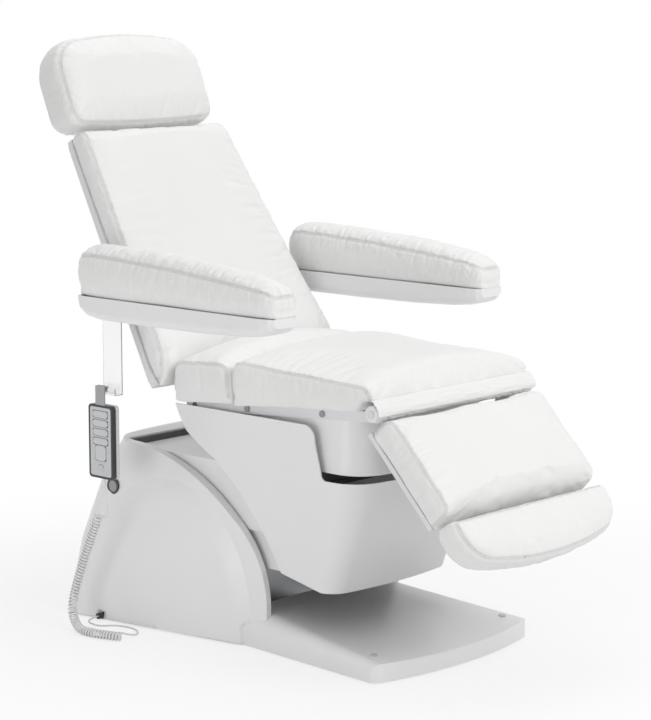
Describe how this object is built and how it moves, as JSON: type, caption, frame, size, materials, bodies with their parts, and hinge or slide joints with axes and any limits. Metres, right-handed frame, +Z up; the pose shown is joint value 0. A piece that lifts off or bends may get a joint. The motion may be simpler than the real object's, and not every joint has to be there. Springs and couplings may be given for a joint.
{
  "type": "podiatry chair",
  "caption": "Electric treatment chair: padded seat, reclining back, level armrests, leg and foot rest on a telescopic lift under moulded covers, with a corded handset.",
  "frame": {"origin": "on the floor, in the middle of the chair's bounding box seen from above", "axes": "+Z up; the chair faces -Y, so its head end points to +Y; +X is the sitter's left"},
  "size_m": [0.9237, 1.5716, 1.5068],
  "materials": {
    "pad_rubber": "matt",
    "base_steel": "satin powder coat",
    "cover_white": "satin gloss moulding",
    "screw_cap": "satin",
    "column_steel": "brushed",
    "frame_white": "powder coat",
    "pin_steel": "polished",
    "board": "bare plywood",
    "board_skin": "smooth moulding",
    "cap_grey": "matt",
    "upholstery": "fine-grained synthetic leather",
    "hub_grey": "matt",
    "arm_white": "satin moulding",
    "hanger_white": "satin",
    "handset_dark": "fine texture",
    "handset_silver": "satin silver",
    "key_grey": "satin",
    "badge_black": "gloss",
    "badge_silver": "satin",
    "gland_dark": "matt",
    "cord_white": "smooth"
  },
  "bodies": {
    "base": {"base_plate": "base_steel", "floor_pads": "pad_rubber", "foot_cover": "cover_white", "cover_screws": "screw_cap", "hood": "cover_white", "column_outer": "column_steel", "badge_ring": "badge_black", "badge_disc": "badge_silver", "cord_gland": "gland_dark", "base_lead": "cord_white", "handset_coil": "cord_white"},
    "lift_middle": {"column_middle": "column_steel", "lower_cover": "cover_white"},
    "carrier": {"column_inner": "column_steel", "carrier_deck": "base_steel", "carrier_brackets": "base_steel", "upper_cover": "cover_white", "body_shell": "cover_white"},
    "seat": {"seat_rails": "frame_white", "back_pins": "pin_steel", "seat_board": "board", "rail_caps": "cap_grey", "seat_skirt": "cover_white", "rear_seat_cushion": "upholstery", "front_seat_cushion": "upholstery"},
    "back": {"back_board": "board_skin", "back_cushion": "upholstery", "back_straps": "frame_white", "arm_brackets": "frame_white", "head_guides": "base_steel"},
    "head_slider": {"head_rods": "pin_steel"},
    "head": {"head_board": "board_skin", "head_cushion": "upholstery"},
    "leg": {"leg_tube": "pin_steel", "leg_roll": "upholstery", "leg_arms": "frame_white", "leg_board": "board_skin", "leg_cushion": "upholstery", "foot_guides": "base_steel"},
    "foot_slider": {"foot_rods": "pin_steel"},
    "foot": {"foot_board": "board_skin", "foot_cushion": "upholstery"},
    "arm_left": {"arm_shell_left": "arm_white", "arm_pad_left": "upholstery", "arm_hub_left": "hub_grey"},
    "arm_right": {"arm_shell_right": "arm_white", "arm_pad_right": "upholstery", "arm_hub_right": "hub_grey", "handset_hanger": "hanger_white"},
    "handset": {"handset_case": "handset_dark", "handset_face": "handset_silver", "handset_hook": "handset_dark", "handset_lead": "cord_white"},
    "key_1": {"handset_key_1": "key_grey"},
    "key_2": {"handset_key_2": "key_grey"},
    "key_3": {"handset_key_3": "key_grey"},
    "key_4": {"handset_key_4": "key_grey"},
    "key_5": {"handset_key_5": "key_grey"}
  },
  "joints": [
    {"name": "lift", "type": "slide", "parent": "base", "child": "carrier", "axis": [0, 0, 1], "range_m": [0, 0.26], "deforming": ["handset_coil"]},
    {"name": "lift_stage", "type": "slide", "parent": "base", "child": "lift_middle", "axis": [0, 0, 1], "range_m": [0, 0.13]},
    {"name": "seat_tilt", "type": "hinge", "parent": "carrier", "child": "seat", "pos_m": [0, 0.172, 0.591], "axis": [-1, 0, 0], "range_deg": [0, 12]},
    {"name": "back_recline", "type": "hinge", "parent": "seat", "child": "back", "pos_m": [0, 0.27416, 0.63699], "axis": [-1, 0, 0], "range_deg": [-4, 57]},
    {"name": "head_slide", "type": "slide", "parent": "back", "child": "head_slider", "axis": [0, 0.5402, 0.8415], "range_m": [0, 0.1]},
    {"name": "head_tilt", "type": "hinge", "parent": "head_slider", "child": "head", "pos_m": [0, 0.71913, 1.26087], "axis": [-1, 0, 0], "range_deg": [-2, 30]},
    {"name": "leg_raise", "type": "hinge", "parent": "seat", "child": "leg", "pos_m": [0, -0.4614, 0.65033], "axis": [-1, 0, 0], "range_deg": [-15, 46.5]},
    {"name": "foot_slide", "type": "slide", "parent": "leg", "child": "foot_slider", "axis": [0, -0.6884, -0.7254], "range_m": [0, 0.12]},
    {"name": "foot_tilt", "type": "hinge", "parent": "foot_slider", "child": "foot", "pos_m": [0, -0.60686, 0.38374], "axis": [-1, 0, 0], "range_deg": [-20, 8]},
    {"name": "arm_level_left", "type": "hinge", "parent": "back", "child": "arm_left", "pos_m": [0.32, 0.36872, 0.84722], "axis": [-1, 0, 0], "range_deg": [-57, 4]},
    {"name": "arm_level_right", "type": "hinge", "parent": "back", "child": "arm_right", "pos_m": [-0.32, 0.36872, 0.84722], "axis": [-1, 0, 0], "range_deg": [-57, 4]},
    {"name": "handset_lift", "type": "slide", "parent": "arm_right", "child": "handset", "axis": [0, 0, 1], "range_m": [0, 0.02]},
    {"name": "key_press_1", "type": "slide", "parent": "handset", "child": "key_1", "axis": [1, 0, 0], "range_m": [0, 0.0008], "stiffness_N_per_m": 800},
    {"name": "key_press_2", "type": "slide", "parent": "handset", "child": "key_2", "axis": [1, 0, 0], "range_m": [0, 0.0008], "stiffness_N_per_m": 800},
    {"name": "key_press_3", "type": "slide", "parent": "handset", "child": "key_3", "axis": [1, 0, 0], "range_m": [0, 0.0008], "stiffness_N_per_m": 800},
    {"name": "key_press_4", "type": "slide", "parent": "handset", "child": "key_4", "axis": [1, 0, 0], "range_m": [0, 0.0008], "stiffness_N_per_m": 800},
    {"name": "key_press_5", "type": "slide", "parent": "handset", "child": "key_5", "axis": [1, 0, 0], "range_m": [0, 0.0008], "stiffness_N_per_m": 800}
  ],
  "couplings": [
    {"joint": "lift_stage", "follows": "lift", "ratio": 0.5},
    {"joint": "arm_level_left", "follows": "back_recline", "ratio": -1},
    {"joint": "arm_level_right", "follows": "back_recline", "ratio": -1}
  ]
}
